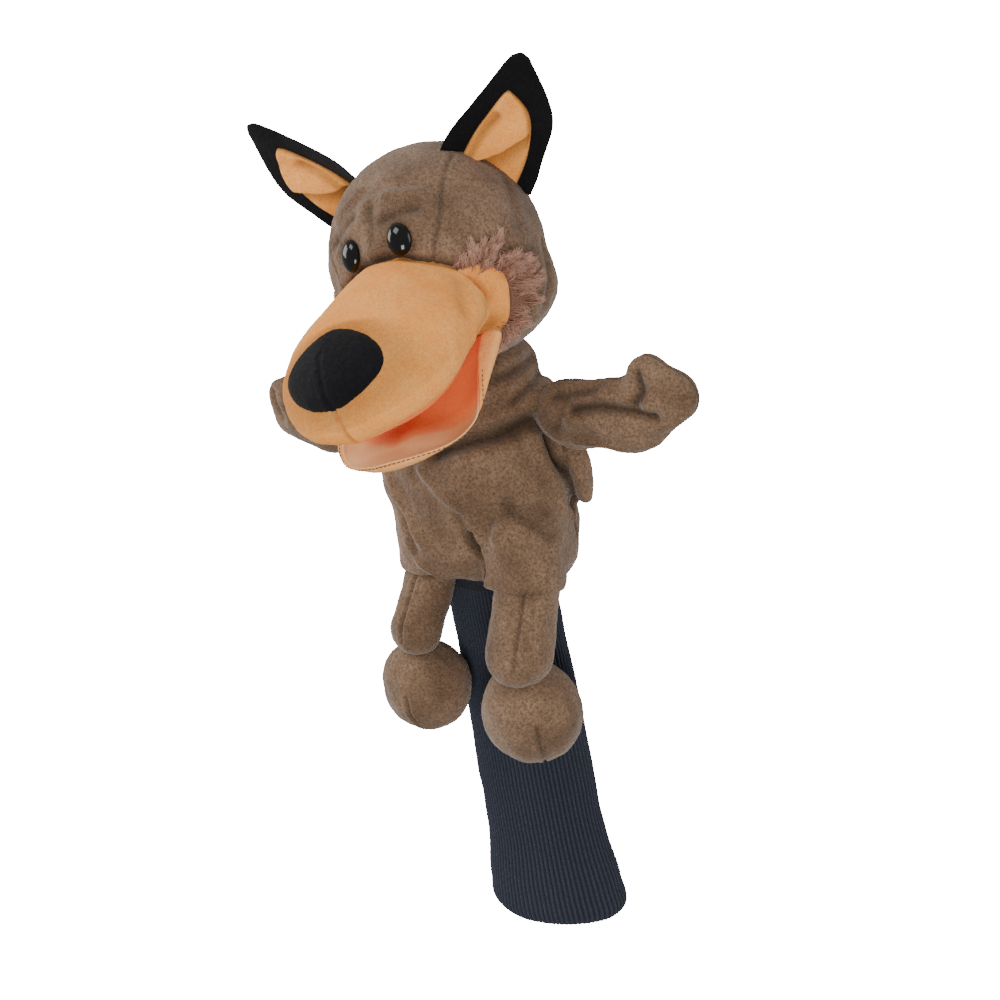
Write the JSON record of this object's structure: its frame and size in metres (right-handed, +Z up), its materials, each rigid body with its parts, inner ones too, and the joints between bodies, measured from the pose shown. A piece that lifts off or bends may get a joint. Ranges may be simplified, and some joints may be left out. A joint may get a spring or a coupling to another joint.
{
  "type": "driver head cover",
  "caption": "Plush animal head cover for a golf driver, with a padded club pocket, a long ribbed knit sock, an open mouth, upright ears and hanging legs.",
  "frame": {"origin": "centre of the sock's oval mouth", "axes": "+Z up along the sock towards the animal's head, -Y the way its face looks, +X its own left"},
  "size_m": [0.293, 0.197, 0.502],
  "materials": {
    "knit": "matte",
    "binding": "matte",
    "brown_plush": "matte",
    "tan_plush": "matte",
    "black_plush": "matte",
    "mouth_cloth": "matte",
    "cheek_fur": "matte",
    "wadding": "matte",
    "pocket_cloth": "matte",
    "eye_plastic": "gloss",
    "washer_plastic": "matte"
  },
  "bodies": {
    "torso": {"knit_sock": "knit", "waist_binding": "binding", "torso_front_skin": "brown_plush", "torso_back_skin": "brown_plush", "torso_padding": "wadding", "club_pocket_lining": "pocket_cloth"},
    "head": {"head_left_panel": "brown_plush", "head_right_panel": "brown_plush", "head_gusset": "brown_plush", "head_wadding": "wadding", "muzzle_skin": "tan_plush", "muzzle_wadding": "wadding", "palate_lining": "mouth_cloth", "nose_pad": "black_plush", "eye_left": "eye_plastic", "eye_washer_left": "washer_plastic", "cheek_patch_left": "tan_plush", "cheek_fur_left": "cheek_fur", "eye_right": "eye_plastic", "eye_washer_right": "washer_plastic", "cheek_patch_right": "tan_plush", "cheek_fur_right": "cheek_fur"},
    "jaw": {"jaw_skin": "tan_plush", "jaw_wadding": "wadding", "jaw_lining": "mouth_cloth"},
    "ear_left": {"ear_back_left": "black_plush", "ear_inner_left": "tan_plush"},
    "arm_left": {"arm_left_skin": "brown_plush", "arm_left_wadding": "wadding"},
    "leg_left": {"leg_left_skin": "brown_plush", "leg_left_wadding": "wadding"},
    "foot_left": {"foot_left_skin": "brown_plush", "foot_left_wadding": "wadding"},
    "ear_right": {"ear_back_right": "black_plush", "ear_inner_right": "tan_plush"},
    "arm_right": {"arm_right_skin": "brown_plush", "arm_right_wadding": "wadding"},
    "leg_right": {"leg_right_skin": "brown_plush", "leg_right_wadding": "wadding"},
    "foot_right": {"foot_right_skin": "brown_plush", "foot_right_wadding": "wadding"}
  },
  "joints": [
    {"name": "head_nod", "type": "hinge", "parent": "torso", "child": "head", "pos_m": [0, 0.004, 0.328], "axis": [1, 0, 0], "range_deg": [-12, 12], "stiffness_Nm_per_rad": 1.5},
    {"name": "jaw_hinge", "type": "hinge", "parent": "head", "child": "jaw", "pos_m": [0.01519, -0.04722, 0.35801], "axis": [0.9609, 0.135, 0.2419], "range_deg": [-12, 12], "stiffness_Nm_per_rad": 0.1},
    {"name": "ear_left_bend", "type": "hinge", "parent": "head", "child": "ear_left", "pos_m": [0.03392, 0.01671, 0.44224], "axis": [0.9252, 0.0742, -0.3721], "range_deg": [-15, 15], "stiffness_Nm_per_rad": 0.02},
    {"name": "ear_right_bend", "type": "hinge", "parent": "head", "child": "ear_right", "pos_m": [-0.0564, 0.00401, 0.41951], "axis": [0.6295, 0.1443, 0.7635], "range_deg": [-15, 15], "stiffness_Nm_per_rad": 0.02},
    {"name": "shoulder_left", "type": "hinge", "parent": "torso", "child": "arm_left", "pos_m": [0.059, 0, 0.301], "axis": [0, -1, 0], "range_deg": [-35, 25], "stiffness_Nm_per_rad": 0.06},
    {"name": "shoulder_right", "type": "hinge", "parent": "torso", "child": "arm_right", "pos_m": [-0.059, 0, 0.298], "axis": [0, 1, 0], "range_deg": [-35, 25], "stiffness_Nm_per_rad": 0.06},
    {"name": "hip_left", "type": "hinge", "parent": "torso", "child": "leg_left", "pos_m": [0.033, -0.034, 0.203], "axis": [-1, 0, 0], "range_deg": [0, 60], "stiffness_Nm_per_rad": 0.04},
    {"name": "hip_right", "type": "hinge", "parent": "torso", "child": "leg_right", "pos_m": [-0.031, -0.0345, 0.203], "axis": [-1, 0, 0], "range_deg": [0, 60], "stiffness_Nm_per_rad": 0.04},
    {"name": "ankle_left", "type": "hinge", "parent": "leg_left", "child": "foot_left", "pos_m": [0.0335, -0.041, 0.18], "axis": [-1, 0, 0], "range_deg": [-4, 12], "stiffness_Nm_per_rad": 0.03},
    {"name": "ankle_right", "type": "hinge", "parent": "leg_right", "child": "foot_right", "pos_m": [-0.031, -0.042, 0.18], "axis": [-1, 0, 0], "range_deg": [-4, 12], "stiffness_Nm_per_rad": 0.03}
  ]
}
